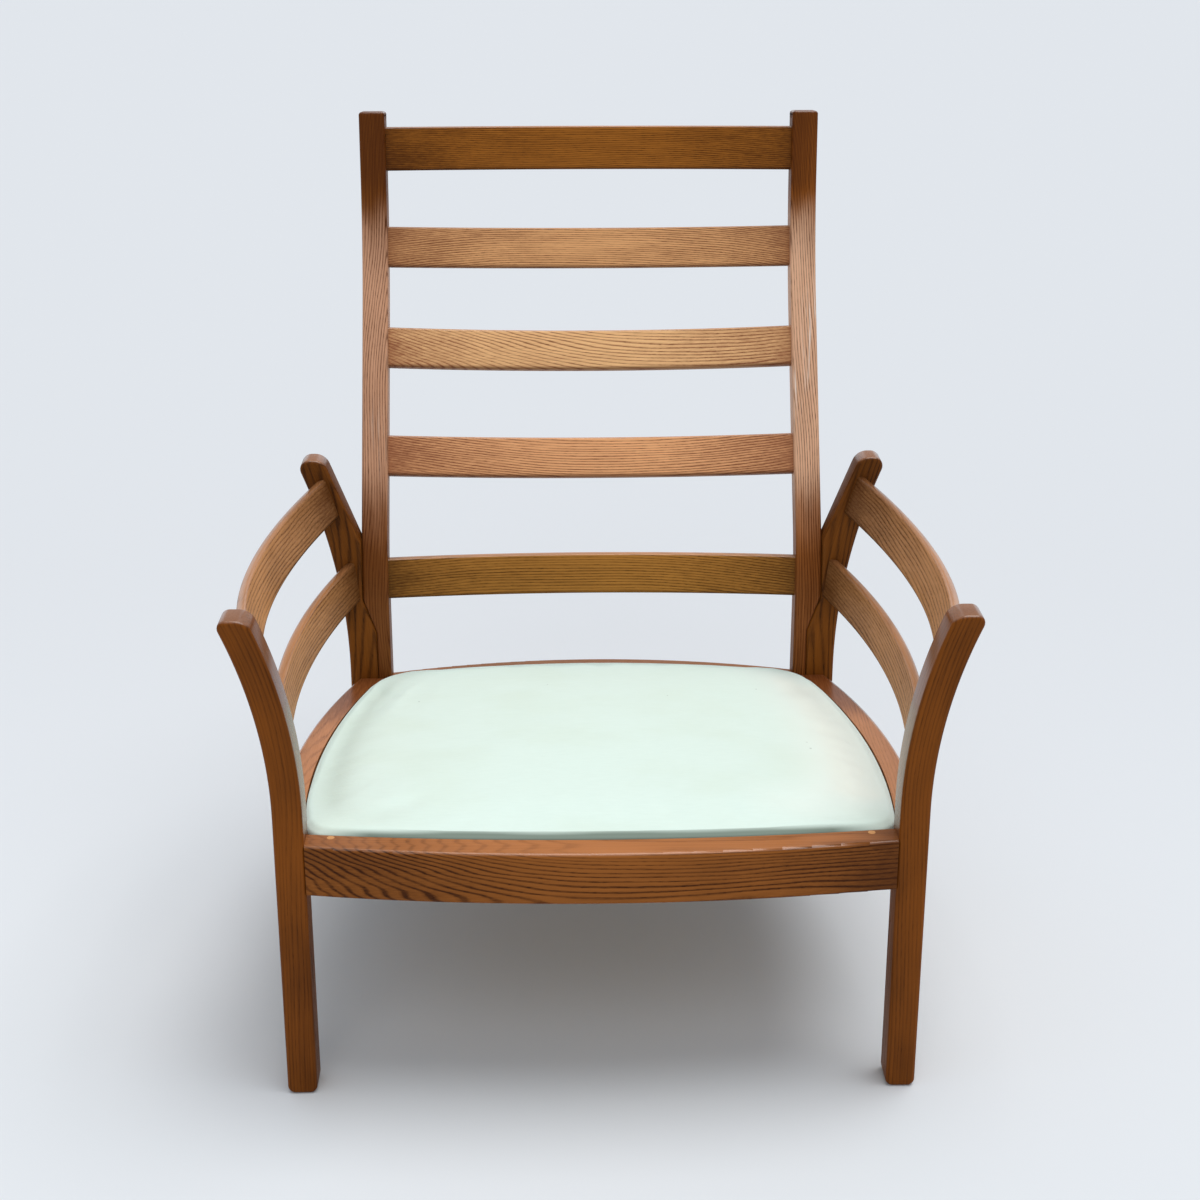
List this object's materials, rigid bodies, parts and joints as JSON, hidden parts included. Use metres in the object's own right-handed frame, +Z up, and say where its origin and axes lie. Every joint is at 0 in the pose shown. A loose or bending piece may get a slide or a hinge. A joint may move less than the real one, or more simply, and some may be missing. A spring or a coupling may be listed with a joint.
{
  "type": "high-back easy chair",
  "caption": "High-back easy chair with a bowed slat back, outswept slatted arms on horned legs and a pale drop-in upholstered seat in a brown-stained ash frame",
  "frame": {"origin": "on the floor, under the middle of the chair's box", "axes": "+X to the right as the chair is seen from the front, +Y towards its back, +Z up"},
  "size_m": [0.793, 0.83, 0.958],
  "materials": {
    "frame_wood": "brown-stained ash under a satin varnish, open grain",
    "peg_wood": "pale turned hardwood, varnished over",
    "inner_wood": "plain unfinished beech",
    "screw_steel": "bright zinc-plated steel",
    "webbing": "woven jute webbing",
    "foam": "cut upholstery foam",
    "cover_cloth": "pale mint close-woven upholstery cloth"
  },
  "bodies": {
    "root": {"front_leg_left": "frame_wood", "front_leg_right": "frame_wood", "rear_leg_left": "frame_wood", "rear_leg_right": "frame_wood", "back_stile_left": "frame_wood", "back_stile_right": "frame_wood", "back_slat_1": "frame_wood", "back_slat_2": "frame_wood", "back_slat_3": "frame_wood", "back_slat_4": "frame_wood", "back_slat_5": "frame_wood", "arm_slat_upper_left": "frame_wood", "arm_slat_upper_right": "frame_wood", "arm_slat_lower_left": "frame_wood", "arm_slat_lower_right": "frame_wood", "front_rail": "frame_wood", "back_rail": "frame_wood", "side_rail_left": "frame_wood", "side_rail_right": "frame_wood", "rail_pegs": "peg_wood", "scarf_dowels": "peg_wood", "corner_block_front_left": "inner_wood", "corner_block_front_right": "inner_wood", "corner_block_back_left": "inner_wood", "corner_block_back_right": "inner_wood", "corner_block_screws": "screw_steel", "seat_screws": "screw_steel", "seat_frame_front": "inner_wood", "seat_frame_back": "inner_wood", "seat_frame_left": "inner_wood", "seat_frame_right": "inner_wood", "seat_webbing_along": "webbing", "seat_webbing_across": "webbing", "seat_foam": "foam", "seat_cover": "cover_cloth"}
  },
  "joints": []
}
